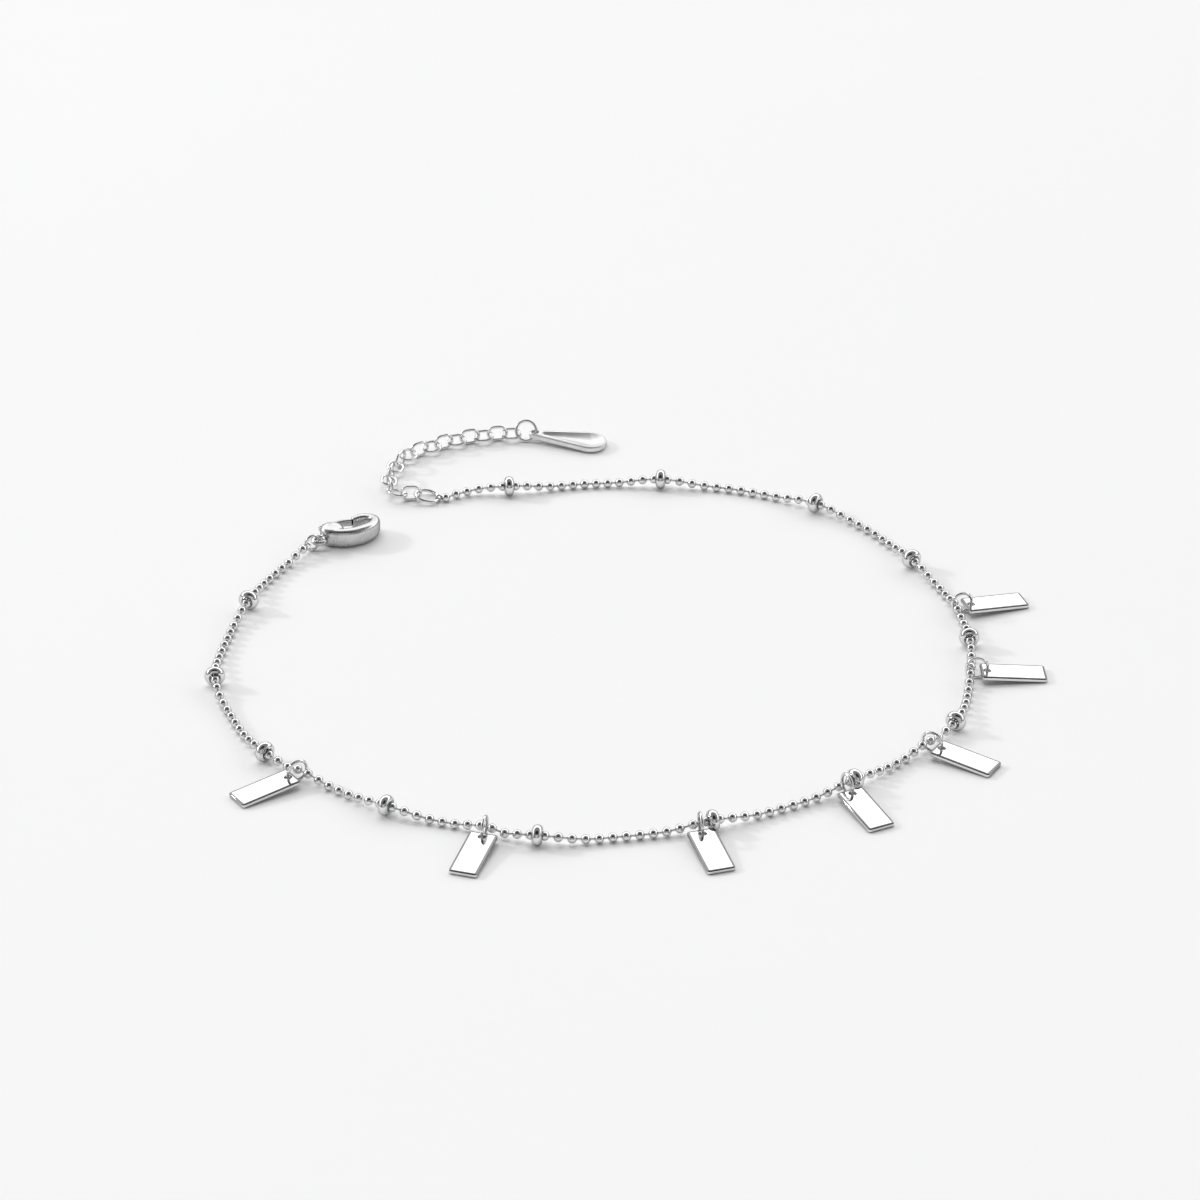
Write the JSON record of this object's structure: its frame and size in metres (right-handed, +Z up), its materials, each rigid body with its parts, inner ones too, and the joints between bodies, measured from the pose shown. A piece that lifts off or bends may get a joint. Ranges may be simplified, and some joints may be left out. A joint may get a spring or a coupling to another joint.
{
  "type": "chain bracelet",
  "caption": "Fine ball chain with ring beads and flat rectangular tags on rings, closed by a lobster clasp and a cable-link extender that ends in a flat teardrop.",
  "frame": {"origin": "centre of the laid-open bracelet's bounding box, on the surface that it rests on", "axes": "+Z up from the surface; +Y across the loop towards the extender's side; +X to the right of the picture"},
  "size_m": [0.0976, 0.1022, 0.0028],
  "materials": {
    "silver_balls": "polished silver balls",
    "silver_beads": "bright polished silver",
    "silver_tags": "mirror polished silver plate",
    "silver_clasp": "polished cast silver",
    "silver_links": "polished silver wire"
  },
  "bodies": {
    "bracelet": {"ball_chain": "silver_balls", "clasp_body": "silver_clasp", "clasp_ring": "silver_links", "drop": "silver_tags", "drop_ring": "silver_links", "end_ring": "silver_links", "extender_link_01": "silver_links", "extender_link_02": "silver_links", "extender_link_03": "silver_links", "extender_link_04": "silver_links", "extender_link_05": "silver_links", "extender_link_06": "silver_links", "extender_link_07": "silver_links", "extender_link_08": "silver_links", "extender_link_09": "silver_links", "extender_link_10": "silver_links", "extender_link_11": "silver_links", "extender_link_12": "silver_links", "extender_link_13": "silver_links", "extender_link_14": "silver_links", "extender_link_15": "silver_links", "extender_link_16": "silver_links", "ring_bead_01": "silver_beads", "ring_bead_02": "silver_beads", "ring_bead_03": "silver_beads", "ring_bead_04": "silver_beads", "ring_bead_05": "silver_beads", "ring_bead_06": "silver_beads", "ring_bead_07": "silver_beads", "ring_bead_08": "silver_beads", "ring_bead_09": "silver_beads", "ring_bead_10": "silver_beads", "ring_bead_11": "silver_beads", "ring_bead_12": "silver_beads", "ring_bead_13": "silver_beads", "tag_1": "silver_tags", "tag_2": "silver_tags", "tag_3": "silver_tags", "tag_4": "silver_tags", "tag_5": "silver_tags", "tag_6": "silver_tags", "tag_7": "silver_tags", "tag_ring_1": "silver_links", "tag_ring_2": "silver_links", "tag_ring_3": "silver_links", "tag_ring_4": "silver_links", "tag_ring_5": "silver_links", "tag_ring_6": "silver_links", "tag_ring_7": "silver_links"},
    "lever": {"clasp_lever": "silver_clasp"}
  },
  "joints": [
    {"name": "clasp_lever_hinge", "type": "hinge", "parent": "bracelet", "child": "lever", "pos_m": [-0.03581, 0.02412, 0.00115], "axis": [0, 0, -1], "range_deg": [0, 24], "stiffness_Nm_per_rad": 0.003, "springref_deg": -20.05}
  ]
}
